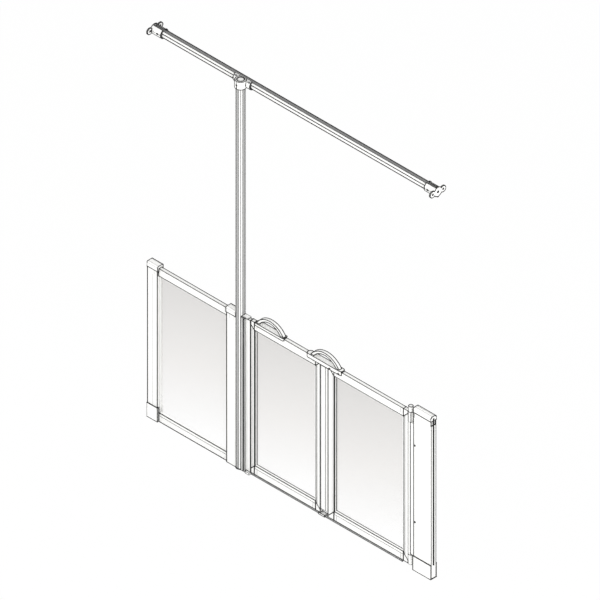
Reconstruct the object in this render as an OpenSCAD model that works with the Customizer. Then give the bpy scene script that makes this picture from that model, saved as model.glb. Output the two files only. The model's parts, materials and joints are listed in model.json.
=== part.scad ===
// Half-height carer shower screen between two walls: a fixed glazed panel, a support
// pole up to a curtain rail, and a two-leaf folding door hinged on the right wall post.
// X runs along the front from left to right, Y to the back and Z up, in millimetres.

/* [Overall] */
// Distance between the two walls
opening_w = 1584; // [1530:1:1700]
// Height of the left and middle posts with their caps
screen_h = 750; // [700:1:900]
// Height of the curtain rail's axis above the floor
rail_z = 1856; // [1750:1:2050]
// Width of the fixed panel between its posts
fixed_panel_w = 387; // [340:1:420]
// Width of door leaf A from its free edge to the fold
leaf_a_w = 414.5; // [380:0.5:440]

/* [Posts] */
// Depth of the posts, front to back
post_d = 28; // [26:0.5:32]
// Wall thickness of the posts and of the wall channels
post_t = 2; // [1.5:0.1:2.5]
// Width of the left wall post
left_post_w = 56; // [52:1:64]
// Width of the middle post
mid_post_w = 50.5; // [48:0.5:60]
// Width of the right wall post
right_post_w = 97; // [80:1:110]
// How far the right wall post stands above the others
right_post_rise = 33; // [10:1:50]
// Height of the cap on each post
cap_h = 24; // [20:1:28]
// How far a cap stands proud of its post
cap_proud = 1.5; // [1:0.1:2]
// Radius of the caps' long upper edges
cap_r = 6; // [3:0.5:8]
// Length of a cap's tabs inside its post
cap_spigot = 22; // [15:1:30]
// Thickness of a cap's top
cap_top = 3; // [2:0.5:4]
// Height of the foot shoes
shoe_h = 67; // [50:1:80]
// Wall thickness of the foot shoes
shoe_t = 2.5; // [2:0.1:3]
// Thickness of the floor of a foot shoe
shoe_base = 3; // [2:0.5:5]
// Length of a wall channel's flanges
channel_l = 30; // [20:1:36]
// Clearance between a wall channel and the post that slides over it
channel_fit = 0.3; // [0.2:0.05:0.6]
// How far a wall channel ends below the tabs of its post's cap
channel_short = 2; // [1:1:40]
// Diameter of the screw holes in the wall channels
wall_hole_d = 5.5; // [4.5:0.1:6.5]
// Height of the lowest wall screw hole
wall_hole_z = 100; // [90:1:120]
// Distance between the wall screw holes
wall_hole_pitch = 240; // [200:1:250]

/* [Pole and curtain rail] */
// Diameter of the support pole
pole_d = 38.6; // [36:0.2:42]
// Bore of the support pole
pole_bore = 31.6; // [29:0.2:32]
// Width of the pole's four grooves
pole_groove_w = 13; // [8:0.5:13.5]
// Depth of the pole's grooves below its round surface, at their middle
pole_groove_depth = 1.6; // [1.2:0.1:2]
// Clearance between the pole and the posts that hold it
pole_fit = 0.2; // [0.1:0.05:0.4]
// How deep the pole sits in the hollow of the middle post
pole_nest = 6; // [4:0.5:8]
// Thickness of the pole's foot plug under the tube
pole_foot_h = 3; // [2:0.5:6]
// Diameter of the curtain rail
rail_d = 34; // [32:0.5:36]
// Bore of the curtain rail
rail_bore = 24; // [20:0.5:25]
// Width of the rail's four grooves
rail_groove_w = 15.5; // [14:0.5:18]
// Depth of the rail's grooves below its round surface, at their middle
rail_groove_depth = 3.1; // [2.6:0.1:3.4]
// Distance from the pole's axis back to the rail's axis
rail_back = 25; // [24:0.5:28]
// Diameter of the collar of the pole clamp
collar_d = 46.6; // [44:0.2:50]
// Wall thickness of the clamp's saddle and of the bracket sockets
saddle_t = 4; // [3:0.5:5]
// Depth of the round recess in the top of the collar
recess_h = 2.5; // [2:0.1:3]
// Length of the clamp's spigot inside the pole
clamp_spigot = 38; // [30:1:50]
// Length of the clamp's saddle along the rail
saddle_l = 92; // [84:1:100]
// Distance between the clamp's two rail screws
saddle_screw_pitch = 74; // [70:1:76]
// Diameter of the recessed plug in the top of the collar
collar_plug_d = 32; // [28:0.5:34]
// Distance between the two wall holes of a rail bracket
bracket_pitch = 58; // [54:1:62]
// Radius of the two lobes of a rail bracket
bracket_lobe_r = 14; // [12:0.5:15]
// Diameter of the wall holes of a rail bracket
bracket_hole_d = 6.5; // [5:0.5:7]
// Thickness of a rail bracket's wall plate
bracket_plate_t = 5; // [4:0.5:7]
// Length of a rail bracket's socket
bracket_socket_l = 56; // [46:1:64]

/* [Glazing] */
// Thickness of the glass
glass_t = 4; // [4:0.5:5]
// Thickness of the glazing gasket on each side of the glass
gasket_t = 1.4; // [1.2:0.1:1.6]
// How far the glazing gasket shows beyond the frame
gasket_show = 8.5; // [6:0.5:10]
// Depth of the glazing grooves
groove_depth = 12; // [10:0.5:13]
// How far the glass stays off the bottom of the grooves
glass_off = 2; // [1.5:0.1:3]

/* [Panel and door frames] */
// Depth of the panel and leaf frames, front to back
frame_d = 16; // [15:0.5:18]
// Wall thickness of the frame sections
frame_t = 1.8; // [1.5:0.1:2.2]
// Height of the fixed panel's top rail
fixed_rail_h = 35; // [30:1:40]
// Height of the fixed panel's bottom rail at the glass
fixed_sill_h = 38; // [32:1:42]
// How far the fixed panel's top rail lies below the post tops
fixed_drop = 12; // [10:0.5:16]
// Height of the door leaves' top rails
leaf_rail_h = 37; // [32:1:42]
// Height of the door leaves' bottom rails at the glass
leaf_sill_h = 39; // [32:1:44]
// How far the door leaves' tops lie below the post tops
leaf_drop = 5; // [3:0.5:10]
// How far the front of a bottom rail or a stile slopes back towards the glass
sill_slope = 10; // [4:0.5:12]
// Gap between the floor and the underside of the door leaves
leaf_gap = 11; // [9:0.5:14]
// Width of leaf A's free stile
stile_free_w = 19; // [18:0.5:22]
// Width of the stiles beside the fold on leaf A and at the wall on leaf B
stile_w = 26; // [24:0.5:30]
// Width of leaf B's stile beside the fold
stile_wide_w = 32.5; // [30:0.5:34]
// Length of a corner block's spigot inside the rail
corner_reach = 15; // [10:1:20]

/* [Strike side] */
// Width of the strike post beside the pole
strike_post_w = 23; // [22:0.5:26]
// How deep the pole sits in the hollow of the strike post
strike_nest = 3; // [2.5:0.5:4]
// Width of the strike jamb
strike_jamb_w = 23.5; // [22:0.5:28]
// Thickness of each magnetic strip
magnet_t = 1; // [0.8:0.1:1.5]
// Width of each magnetic strip
magnet_w = 10; // [8:0.5:12]
// Gap between the two magnetic strips when the door is shut
closing_gap = 0.9; // [0.8:0.1:2]
// Thickness of the small cap on the strike post
strike_cap_t = 4; // [3:0.5:5]
// How far the strike foot stands proud of the posts
strike_foot_proud = 3.5; // [2:0.5:5]
// Height of the strike foot
strike_foot_h = 9; // [7:0.5:10]

/* [Fold hinge] */
// Width of the hinge half on leaf A
fold_half_a_w = 27; // [24:0.5:30]
// Width of the hinge half on leaf B
fold_half_b_w = 17; // [16:0.5:22]
// How far the fold's axis lies behind the leaves
fold_axis_back = 8; // [7.5:0.5:10]
// Outer diameter of the fold hinge's knuckles
fold_knuckle_d = 12; // [11:0.5:13]
// Diameter of the fold hinge's pin
fold_pin_d = 5; // [4:0.5:6]
// Thickness of the wings that carry the knuckles
fold_wing_t = 4; // [3:0.5:4.5]
// Height of the fold hinge's bottom edge
fold_z0 = 30; // [25:1:40]
// How far the fold hinge ends below the leaf tops
fold_drop = 23; // [18:1:30]
// Gap between the two hinge halves
fold_gap = 0.6; // [0.4:0.1:1]

/* [Wall hinge] */
// Distance from the right post to the wall hinge's axis
wall_axis_off = 23.5; // [23:0.5:26]
// How far the wall hinge's axis lies behind the front of the posts
wall_axis_y = 8; // [7:0.5:9]
// Diameter of the wall hinge's barrel and knuckles
barrel_d = 19; // [18:0.5:20]
// Diameter of the wall hinge's pin
wall_pin_d = 10; // [8:0.5:11]
// Height of the bottom knuckle
knuckle_low_h = 45; // [35:1:60]
// Height of the top knuckle
knuckle_top_h = 46; // [35:1:60]
// Gap between a knuckle and the barrel, where the washer sits
washer_gap = 1.2; // [1:0.1:1.6]
// Running clearance of the hinge pins, on the radius
pin_fit = 0.05; // [0.03:0.01:0.08]
// Height of the cap over the top knuckle
hinge_cap_h = 27; // [20:1:32]
// Diameter of the cap over the top knuckle
hinge_cap_d = 18; // [16:0.5:19]

/* [Handles] */
// Length of handle A's saddle
handle_a_l = 158; // [150:1:170]
// Distance from leaf A's free edge to handle A
handle_a_x = 27; // [22:1:40]
// Length of handle B's saddle
handle_b_l = 195; // [185:1:200]
// How far handle B's saddle reaches over leaf A
handle_b_over = 101; // [95:1:105]
// Depth of a handle's saddle, front to back
saddle_d = 26; // [24.5:0.5:28]
// Height of a saddle's top plate above the rail
saddle_top = 4.4; // [3.5:0.1:6]
// Height of handle B's saddle below the top of the rail
saddle_b_skirt = 13.5; // [10:0.5:16]
// Height of handle A's saddle below the top of the rail
saddle_a_skirt = 7; // [5:0.5:12]
// Length of handle A's grip along its saddle
grip_a_l = 150; // [140:1:156]
// Length of handle B's grip along its saddle
grip_b_l = 158; // [150:1:165]
// Rise of the outer arc of a grip above the saddle
grip_rise = 42; // [38:1:50]
// Thickness of a grip at its crown
grip_t = 10; // [8:0.5:12]
// Width of a grip, front to back
grip_w = 15; // [12:0.5:18]
// Clearance between handle B's saddle and leaf A, which folds under it
saddle_clear = 1; // [0.8:0.1:1.5]

/* [Screws] */
// Shank diameter of the small screws
screw_d = 3.6; // [3:0.1:4]
// Head diameter of the small screws
screw_head_d = 7; // [6:0.5:8]
// Head height of the small screws
screw_head_h = 2.2; // [1.8:0.1:2.6]
// Clearance of the screws in their holes, on the radius
screw_fit = 0.1; // [0.05:0.05:0.2]
// Height of the upper screw on the right post
post_screw_z_top = 604; // [550:1:640]
// Height of the lower screw on the right post
post_screw_z_low = 234; // [150:1:300]

/* [Hidden] */
$fn = 96;
eps = 0.01;

// Middle plane of the posts and frames
mid_y = post_d / 2;
frame_y0 = mid_y - frame_d / 2;
frame_y1 = mid_y + frame_d / 2;
slot_w = glass_t + 2 * gasket_t;

// Places along the front, from the left wall
mid_x = left_post_w + fixed_panel_w;
mid_x1 = mid_x + mid_post_w;
pole_r = pole_d / 2;
pole_x = mid_x1 - pole_nest + pole_r;
strike_x = pole_x + pole_r - strike_nest;
jamb_x = strike_x + strike_post_w;
jamb_x1 = jamb_x + strike_jamb_w;
leaf_a_x = jamb_x1 + magnet_t + closing_gap;
fold_x = leaf_a_x + leaf_a_w;
right_x = opening_w - right_post_w;
wall_axis_x = right_x - wall_axis_off;

// Leaf A from its free edge to the fold, and leaf B from the fold to the wall hinge
a_x0 = leaf_a_x + magnet_t;
a_x1 = fold_x - fold_half_a_w;
b_x0 = fold_x + fold_half_b_w;
b_x1 = wall_axis_x - 14;

// Heights
post_top = screen_h - cap_h;
right_top = screen_h + right_post_rise;
right_cap_h = cap_h - 3;
right_cap_r = cap_r + 4;
fixed_top = screen_h - fixed_drop;
leaf_top = screen_h - leaf_drop;
leaf_sill_top = leaf_gap + leaf_sill_h;
leaf_rail_z = leaf_top - leaf_rail_h;
fold_z1 = leaf_top - fold_drop;
fold_y = frame_y1 + fold_axis_back;
strike_top = leaf_top - strike_cap_t;

// Wall hinge
knuckle_low_z = leaf_gap + 4;
barrel_z0 = knuckle_low_z + knuckle_low_h + washer_gap;
knuckle_top_z1 = screen_h;
knuckle_top_z0 = knuckle_top_z1 - knuckle_top_h;
barrel_z1 = knuckle_top_z0 - washer_gap;
swing_clear = 0.4;
cap_gap = 0.3;
fold_knuckles = 5;
fold_recess = 2;
leaf_profile_w = 6;
flange_t = 2.4;
flange_y = 22.6;

flange_reach = 5.5;

// Small fittings
plug_gap = 0.5;
strip_t = 0.8;
post_screw_x = 7;
saddle_skirt_t = 4;
saddle_screw_drop = 9;
handle_b_reach = handle_b_l - handle_b_over;
handle_screws_x = [fold_x + 0.32 * handle_b_reach, fold_x + handle_b_reach - 14];
strike_cap_y = 4;
strike_cap_over = 10;
strike_foot_in = 3;

// Groove in the front of the strike post
strike_groove_x = strike_x + 10;
strike_groove_w = 6;
strike_groove_depth = 1;

// Floor seals of the leaves
seal_lift = 0.5;
seal_lip = 2;
seal_carrier = 3;
seal_end_l = 34;
seal_b_short = 32;

// Pole and rail
pole_y = mid_y;
rail_y = pole_y + rail_back;
rail_r = rail_d / 2;
collar_z0 = rail_z - rail_r - 1;
collar_z1 = rail_z + rail_r + 1.5;
saddle_r = rail_r + saddle_t;
rail_fit = 0.05;
rail_x0 = bracket_plate_t + 1;
rail_flat = rail_r - rail_groove_depth;
grub_d = 5;
grub_x = bracket_socket_l - 18;
lobe_neck = 9;
bracket_nub_r = 3.5;
bracket_centre_d = 8;

// The front and back of everything give the middle of the whole object
body_y0 = pole_y - collar_d / 2;
body_y1 = rail_y + bracket_pitch / 2 + bracket_lobe_r;
shift = [-opening_w / 2, -(body_y0 + body_y1) / 2, 0];

// A block between two corners
module block(a, b) {
    translate(a) cube(b - a);
}

// A section drawn in X and Y, run up from z0 to z1
module upright(z0, z1) {
    translate([0, 0, z0]) linear_extrude(z1 - z0) children();
}

// A section drawn in Y and Z, run along X from x0 to x1
module along_x(x0, x1) {
    translate([x0, 0, 0]) rotate([90, 0, 90]) linear_extrude(x1 - x0) children();
}

// An outline drawn in X and Z, given depth from y0 to y1
module facing(y0, y1) {
    translate([0, y1, 0]) rotate([90, 0, 0]) linear_extrude(y1 - y0) children();
}

// A rectangle between two corners
module rect(a, b) {
    translate(a) square(b - a);
}

// A screw along +X from its head: the head's outer face is at the origin
module screw_x(length) {
    rotate([0, 90, 0]) {
        cylinder(d = screw_head_d, h = screw_head_h);
        cylinder(d = screw_d, h = screw_head_h + length);
    }
}

// Section of a wall channel whose base lies on the plane X = 0
module channel_section() {
    difference() {
        rect([0, post_t + channel_fit], [channel_l, post_d - post_t - channel_fit]);
        rect([post_t, 2 * post_t + channel_fit],
             [channel_l + 1, post_d - 2 * post_t - channel_fit]);
    }
}

// Wall channel with its wall screw holes, at the left wall, in a post that ends at z1
module channel_body(z1) {
    difference() {
        upright(shoe_base, z1 - cap_spigot - channel_short) channel_section();
        for (i = [0 : 2])
            translate([-1, mid_y, wall_hole_z + i * wall_hole_pitch])
                rotate([0, 90, 0]) cylinder(d = wall_hole_d, h = post_t + 2);
    }
}

// Glazing groove that opens towards +X at x = w, with its own walls
module groove_walls(w) {
    difference() {
        rect([w - groove_depth - frame_t, mid_y - slot_w / 2 - frame_t],
             [w, mid_y + slot_w / 2 + frame_t]);
        rect([w - groove_depth, mid_y - slot_w / 2], [w + 1, mid_y + slot_w / 2]);
    }
}

// Section of the left post: open to the wall, with a glazing groove
module left_post_section() {
    difference() {
        rect([1, 0], [left_post_w, post_d]);
        rect([0, post_t], [left_post_w - post_t, post_d - post_t]);
        rect([left_post_w - groove_depth, mid_y - slot_w / 2],
             [left_post_w + 1, mid_y + slot_w / 2]);
    }
    groove_walls(left_post_w);
}

// Outline of a cap seen from its end, in Y and Z, with both long upper edges rounded
module cap_outline(z1, h, r) {
    y0 = -cap_proud;
    y1 = post_d + cap_proud;
    translate([0, z1]) {
        rect([y0, -h], [y1, -r]);
        rect([y0 + r, -h], [y1 - r, 0]);
        for (y = [y0 + r, y1 - r])
            translate([y, -r]) circle(r);
    }
}

// Cap from x0 to x1 with two tabs that stand inside its post
module cap_body(x0, x1, tab_x0, tab_x1, z1, h, r) {
    tab_y = post_t + channel_fit;
    difference() {
        along_x(x0, x1) cap_outline(z1, h, r);
        block([tab_x0, tab_y + post_t, z1 - h - 1],
              [tab_x1, post_d - tab_y - post_t, z1 - cap_top]);
    }
    for (y = [tab_y, post_d - tab_y - post_t])
        block([tab_x0, y, z1 - h - cap_spigot], [tab_x1, y + post_t, z1 - cap_top]);
}

// End wall that joins the two tabs of a cap where its post is open to the wall
module cap_end_wall(z1, h) {
    block([post_t, post_t + channel_fit, z1 - h - cap_spigot],
          [2 * post_t, post_d - post_t - channel_fit, z1 - cap_top]);
}

// Foot shoe round a post that reaches from x = 0 to x = w, open to the wall
module shoe(w) {
    difference() {
        block([0, -shoe_t, 0], [w + shoe_t, post_d + shoe_t, shoe_h]);
        block([-1, 0, shoe_base], [w, post_d, shoe_h + 1]);
    }
}

// Section of a hollow frame piece, w wide, whose glazing groove opens at x = w and whose front
// and back slope away beside it
module frame_section(w, d0, d1) {
    difference() {
        polygon([[0, d0], [w - sill_slope, d0], [w, mid_y - slot_w / 2 - 0.8],
                 [w, mid_y + slot_w / 2 + 0.8], [w - sill_slope, d1], [0, d1]]);
        rect([w - groove_depth, mid_y - slot_w / 2], [w + 1, mid_y + slot_w / 2]);
        rect([frame_t, d0 + frame_t], [w - groove_depth - frame_t, d1 - frame_t]);
    }
}

// Section of a bottom rail in Y and Z, h high at the glass, sloped to front and back
module sill_section(z0, h) {
    difference() {
        polygon([[frame_y0, z0], [frame_y1, z0], [frame_y1, z0 + h - sill_slope],
                 [mid_y + slot_w / 2 + 0.8, z0 + h], [mid_y - slot_w / 2 - 0.8, z0 + h],
                 [frame_y0, z0 + h - sill_slope]]);
        rect([mid_y - slot_w / 2, z0 + h - groove_depth], [mid_y + slot_w / 2, z0 + h + 1]);
        rect([frame_y0 + frame_t, z0 + frame_t],
             [frame_y1 - frame_t, z0 + h - groove_depth - frame_t]);
    }
}

// Section of a top rail in Y and Z, h high and ending at z1, with its groove underneath
module head_section(z1, h) {
    z0 = z1 - h;
    difference() {
        rect([frame_y0, z0], [frame_y1, z1]);
        rect([mid_y - slot_w / 2, z0 - 1], [mid_y + slot_w / 2, z0 + groove_depth]);
        rect([frame_y0 + frame_t, z0 + groove_depth + frame_t],
             [frame_y1 - frame_t, z1 - frame_t]);
    }
}

// Glass pane between two openings' edges, reaching into the grooves
module pane(x0, x1, z0, z1) {
    r = groove_depth - glass_off;
    block([x0 - r, mid_y - glass_t / 2, z0 - r], [x1 + r, mid_y + glass_t / 2, z1 + r]);
}

// Rubber round the edge of a pane: both faces, from inside the groove to beyond the frame
module gasket_ring(x0, x1, z0, z1) {
    r = groove_depth - glass_off;
    s = gasket_show;
    difference() {
        block([x0 - r, mid_y - slot_w / 2, z0 - r], [x1 + r, mid_y + slot_w / 2, z1 + r]);
        block([x0 - r - 1, mid_y - glass_t / 2, z0 - r - 1],
              [x1 + r + 1, mid_y + glass_t / 2, z1 + r + 1]);
        block([x0 + s, mid_y - slot_w, z0 + s], [x1 - s, mid_y + slot_w, z1 - s]);
    }
}

// Section of the middle post: a closed box with a groove on the left, hollowed for the pole
module middle_post_section() {
    difference() {
        rect([mid_x, 0], [mid_x1, post_d]);
        difference() {
            rect([mid_x + post_t, post_t], [mid_x1, post_d - post_t]);
            translate([pole_x, pole_y]) circle(pole_r + pole_fit + post_t);
            rect([mid_x, mid_y - slot_w / 2 - frame_t],
                 [mid_x + groove_depth + frame_t, mid_y + slot_w / 2 + frame_t]);
        }
        rect([mid_x - 1, mid_y - slot_w / 2], [mid_x + groove_depth, mid_y + slot_w / 2]);
        translate([pole_x, pole_y]) circle(pole_r + pole_fit);
    }
}

// Section of the strike post: a closed box hollowed for the pole, with a groove in front
module strike_post_section() {
    difference() {
        rect([strike_x, 0], [jamb_x, post_d]);
        difference() {
            rect([strike_x, post_t], [jamb_x - post_t, post_d - post_t]);
            translate([pole_x, pole_y]) circle(pole_r + pole_fit + post_t);
            rect([strike_groove_x - post_t, 0], [strike_groove_x + strike_groove_w + post_t,
                                                 post_t + strike_groove_depth]);
        }
        rect([strike_groove_x, -1], [strike_groove_x + strike_groove_w, strike_groove_depth]);
        translate([pole_x, pole_y]) circle(pole_r + pole_fit);
    }
}

// Round tube along Z with four grooves in its surface, at the front, back, left and right
module grooved_section(d, bore, groove_w, groove_depth_mid) {
    difference() {
        circle(d = d);
        circle(d = bore);
        for (a = [0 : 90 : 270])
            rotate(a) rect([d / 2 - groove_depth_mid, -groove_w / 2], [d, groove_w / 2]);
    }
}

// Cylinder along X about the rail's axis
module rail_round(r, x0, x1) {
    translate([x0, rail_y, rail_z]) rotate([0, 90, 0]) cylinder(r = r, h = x1 - x0);
}

// Puts a screw drawn along -Z, its head at the origin, at 45 degrees to the rail's upper front
module toward_rail(x, r) {
    translate([x, rail_y, rail_z]) rotate([45, 0, 0]) translate([0, 0, r]) children();
}

// Wall bracket of the rail, on the plane X = 0 about the rail's axis. Its socket is open over
// the rail's top groove, so that the curtain gliders run up to the plate.
module bracket_body() {
    translate([0, rail_y, rail_z]) difference() {
        union() {
            rotate([90, 0, 90]) {
                linear_extrude(bracket_plate_t) {
                    circle(saddle_r);
                    for (s = [-1, 1]) translate([s * bracket_pitch / 2, 0]) circle(bracket_lobe_r);
                    rect([-bracket_pitch / 2, -lobe_neck], [bracket_pitch / 2, lobe_neck]);
                    translate([0, -saddle_r]) circle(bracket_nub_r);
                }
                cylinder(r = saddle_r, h = bracket_socket_l);
            }
        }
        translate([bracket_plate_t, 0, 0]) rotate([0, 90, 0])
            cylinder(r = rail_r + rail_fit, h = bracket_socket_l);
        block([bracket_plate_t, -rail_groove_w / 2, 0],
              [bracket_socket_l + 1, rail_groove_w / 2, saddle_r + 1]);
        translate([-1, 0, 0]) rotate([0, 90, 0])
            cylinder(d = bracket_centre_d, h = bracket_plate_t + 2);
        for (s = [-1, 1])
            translate([-1, s * bracket_pitch / 2, 0]) rotate([0, 90, 0])
                cylinder(d = bracket_hole_d, h = bracket_plate_t + 2);
        translate([grub_x, 0, 0]) rotate([90, 0, 0]) cylinder(d = grub_d + 2 * screw_fit, h = saddle_r + 1);
    }
}

// Grub screw of a bracket: from just inside the socket's surface to the rail's front groove
module bracket_grub() {
    translate([grub_x, rail_y - rail_flat, rail_z]) rotate([90, 0, 0]) difference() {
        cylinder(d = grub_d, h = saddle_r - 0.5 - rail_flat);
        translate([0, 0, saddle_r - 0.5 - rail_flat - 2]) cylinder(d = grub_d / 2, h = 3, $fn = 6);
    }
}

// The same thing at the right wall
module at_right_wall() {
    translate([opening_w, 0, 0]) mirror([1, 0, 0]) children();
}

// A stile whose groove opens towards +X at x = w, cut at 45 degrees at both ends
module stile(w) {
    difference() {
        upright(leaf_gap, leaf_top) frame_section(w, frame_y0, frame_y1);
        facing(frame_y0 - 1, frame_y1 + 1) corner_area(w);
    }
}

// The upper and lower areas, in X and Z, that the corner blocks take from a stile
module corner_area(w) {
    polygon([[w + 1, leaf_rail_z - 1], [w + 1, leaf_top + 1], [-1, leaf_top + 1],
             [-1, leaf_rail_z + w + 1]]);
    polygon([[w + 1, leaf_sill_top + 1], [w + 1, leaf_gap - 1], [-1, leaf_gap - 1],
             [-1, leaf_sill_top - w - 1]]);
}

// The two corner blocks of one stile, with spigots that reach into the rails
module corner_pair(w) {
    difference() {
        facing(frame_y0, frame_y1) intersection() {
            corner_area(w);
            rect([0, leaf_gap], [w, leaf_top]);
        }
        block([w - groove_depth, mid_y - slot_w / 2, leaf_sill_top - groove_depth],
              [w + 1, mid_y + slot_w / 2, leaf_rail_z + groove_depth]);
    }
    for (z = [[leaf_gap + frame_t + 0.2, leaf_sill_top - groove_depth - frame_t - 0.2],
              [leaf_rail_z + groove_depth + frame_t + 0.2, leaf_top - frame_t - 0.2]])
        block([w, frame_y0 + frame_t + 0.2, z[0]],
              [w + corner_reach, frame_y1 - frame_t - 0.2, z[1]]);
}

// Places the pieces of a leaf's left stile at x, or of a right stile that ends at x
module left_at(x) {
    translate([x, 0, 0]) children();
}

module right_at(x) {
    translate([x, 0, 0]) mirror([1, 0, 0]) children();
}

// Floor seal: a carrier strip with two lips that reach down to the floor
module floor_seal(x0, x1) {
    along_x(x0, x1) {
        rect([frame_y0 + 1, leaf_gap - seal_carrier], [frame_y1 - 1, leaf_gap]);
        for (y = [frame_y0 + 1, frame_y1 - 1 - seal_lip])
            rect([y, seal_lift], [y + seal_lip, leaf_gap]);
    }
}

// One half of the fold hinge. The axis is at x = 0 and its leaf lies towards -X.
// own is 0 when this half has the first knuckle, or 1 when it has the second.
module fold_half(w, own) {
    seg = (fold_z1 - fold_z0) / fold_knuckles;
    difference() {
        upright(fold_z0, fold_z1) {
            difference() {
                rect([-w, frame_y0 + fold_recess], [-fold_gap / 2, frame_y1]);
                rect([-w + post_t, frame_y0 + fold_recess + post_t],
                     [-fold_gap / 2 - post_t, frame_y1 - post_t]);
            }
            rect([-w + 2 * post_t, frame_y1], [-fold_gap / 2, frame_y1 + fold_wing_t]);
        }
        for (i = [1 - own : 2 : fold_knuckles - 1])
            translate([0, fold_y, fold_z0 + i * seg - eps])
                cylinder(d = fold_knuckle_d + 2 * swing_clear, h = seg + 2 * eps);
        translate([0, fold_y, fold_z0 - 1])
            cylinder(d = fold_pin_d + 2 * pin_fit, h = fold_z1 - fold_z0 + 2);
    }
    for (i = [own : 2 : fold_knuckles - 1])
        translate([0, fold_y, fold_z0 + i * seg + fold_gap / 2]) difference() {
            cylinder(d = fold_knuckle_d, h = seg - fold_gap);
            translate([0, 0, -1]) cylinder(d = fold_pin_d + 2 * pin_fit, h = seg + 2);
        }
}

// A rectangle with round corners
module round_rect(a, b, r) {
    rect([a[0] + r, a[1]], [b[0] - r, b[1]]);
    rect([a[0], a[1] + r], [b[0], b[1] - r]);
    for (x = [a[0] + r, b[0] - r])
        for (y = [a[1] + r, b[1] - r])
            translate([x, y]) circle(r);
}

// Arched grip that stands on a saddle, l long and centred on x
module grip(x, l) {
    z0 = leaf_top + saddle_top - 1;
    rise = grip_rise + 1;
    inner_l = l - 2 * grip_t - 12;
    inner_rise = rise - grip_t;
    r_out = (l * l / 4 + rise * rise) / (2 * rise);
    r_in = (inner_l * inner_l / 4 + inner_rise * inner_rise) / (2 * inner_rise);
    facing(mid_y - grip_w / 2, mid_y + grip_w / 2) intersection() {
        difference() {
            translate([x, z0 + rise - r_out]) circle(r_out, $fn = 180);
            translate([x, z0 + inner_rise - r_in]) circle(r_in, $fn = 180);
        }
        rect([x - l, z0], [x + l, z0 + rise + 1]);
    }
}

// Handle saddle over a top rail: a channel section, trimmed to a plan with round ends
module saddle(x0, x1, r, skirt) {
    y0 = mid_y - saddle_d / 2;
    y1 = mid_y + saddle_d / 2;
    intersection() {
        along_x(x0 - 1, x1 + 1) difference() {
            rect([y0, leaf_top - skirt], [y1, leaf_top + saddle_top]);
            rect([frame_y0, leaf_top - skirt - 1], [frame_y1, leaf_top]);
        }
        upright(leaf_top - skirt - 1, leaf_top + saddle_top + 1)
            round_rect([x0, y0], [x1, y1], r);
    }
}

// Left wall

module left_wall_channel() {
    color("silver") channel_body(post_top);
}

module left_post() {
    color("white") upright(shoe_base, post_top) left_post_section();
}

module left_post_cap() {
    color("whitesmoke") {
        difference() {
            cap_body(0, left_post_w + 2 * cap_proud, post_t,
                     left_post_w - groove_depth - 3 * post_t, screen_h, cap_h, cap_r);
            rail_notch(left_post_w, left_post_w + 10);
        }
        cap_end_wall(screen_h, cap_h);
    }
}

// The space that the fixed panel's top rail needs under a cap
module rail_notch(x0, x1) {
    block([x0, frame_y0 - 0.2, post_top - 1], [x1, frame_y1 + 0.2, fixed_top + 0.2]);
}

module left_foot_shoe() {
    color("whitesmoke") difference() {
        shoe(left_post_w);
        block([left_post_w, frame_y0 - 1, -1], [left_post_w + shoe_t + 1, frame_y1 + 1, shoe_h + 1]);
    }
}

// Fixed panel

module fixed_top_rail() {
    color("white") along_x(left_post_w, mid_x) head_section(fixed_top, fixed_rail_h);
}

module fixed_bottom_rail() {
    color("white") along_x(left_post_w, mid_x) sill_section(0, fixed_sill_h);
}

module fixed_glass() {
    color("lightcyan", 0.5) pane(left_post_w, mid_x, fixed_sill_h, fixed_top - fixed_rail_h);
}

module fixed_gasket() {
    color("dimgray") gasket_ring(left_post_w, mid_x, fixed_sill_h, fixed_top - fixed_rail_h);
}

// Middle post, support pole and clamp

module middle_post() {
    color("white") upright(0, post_top) middle_post_section();
}

module middle_post_cap() {
    color("whitesmoke") difference() {
        cap_body(mid_x - 2 * cap_proud, mid_x1, mid_x + groove_depth + 2 * post_t,
                 pole_x - pole_r - pole_fit - 2 * post_t, screen_h, cap_h, cap_r);
        rail_notch(mid_x - 10, mid_x);
        translate([pole_x, pole_y, post_top - cap_spigot - 1])
            cylinder(r = pole_r + pole_fit, h = cap_h + cap_spigot + 2);
    }
}

module support_pole() {
    color("white") translate([pole_x, pole_y, 0]) upright(pole_foot_h, collar_z0)
        grooved_section(pole_d, pole_bore, pole_groove_w, pole_groove_depth);
}

module pole_foot() {
    color("whitesmoke") translate([pole_x, pole_y, 0]) {
        cylinder(d = pole_d, h = pole_foot_h);
        cylinder(r = pole_bore / 2 - pin_fit, h = pole_foot_h + cap_spigot);
    }
}

module pole_clamp() {
    color("whitesmoke") difference() {
        union() {
            translate([pole_x, pole_y, collar_z0])
                cylinder(d = collar_d, h = collar_z1 - collar_z0);
            translate([pole_x, pole_y, collar_z0 - clamp_spigot])
                cylinder(r = pole_bore / 2 - pin_fit, h = clamp_spigot + 2);
            difference() {
                rail_round(saddle_r, pole_x - saddle_l / 2, pole_x + saddle_l / 2);
                block([0, rail_y, rail_z - saddle_r - 1],
                      [opening_w, rail_y + saddle_r + 1, rail_z + saddle_r + 1]);
                translate([pole_x, pole_y, collar_z0 - saddle_r])
                    cylinder(r = pole_r + pole_fit, h = saddle_r);
            }
        }
        translate([pole_x, pole_y, collar_z1 - recess_h])
            cylinder(d = collar_plug_d, h = saddle_r);
        rail_round(rail_r + rail_fit, 0, opening_w);
        block([0, rail_y - rail_groove_w / 2, rail_z],
              [opening_w, rail_y + saddle_r, rail_z + saddle_r + 1]);
        for (s = [-1, 1]) toward_rail(pole_x + s * saddle_screw_pitch / 2, 0)
            cylinder(d = screw_d + 2 * screw_fit, h = saddle_r + 1);
        translate([pole_x, rail_y, rail_z]) rotate([90, 0, 0])
            cylinder(d = grub_d + 2 * screw_fit, h = rail_back + collar_d);
    }
}

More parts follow.
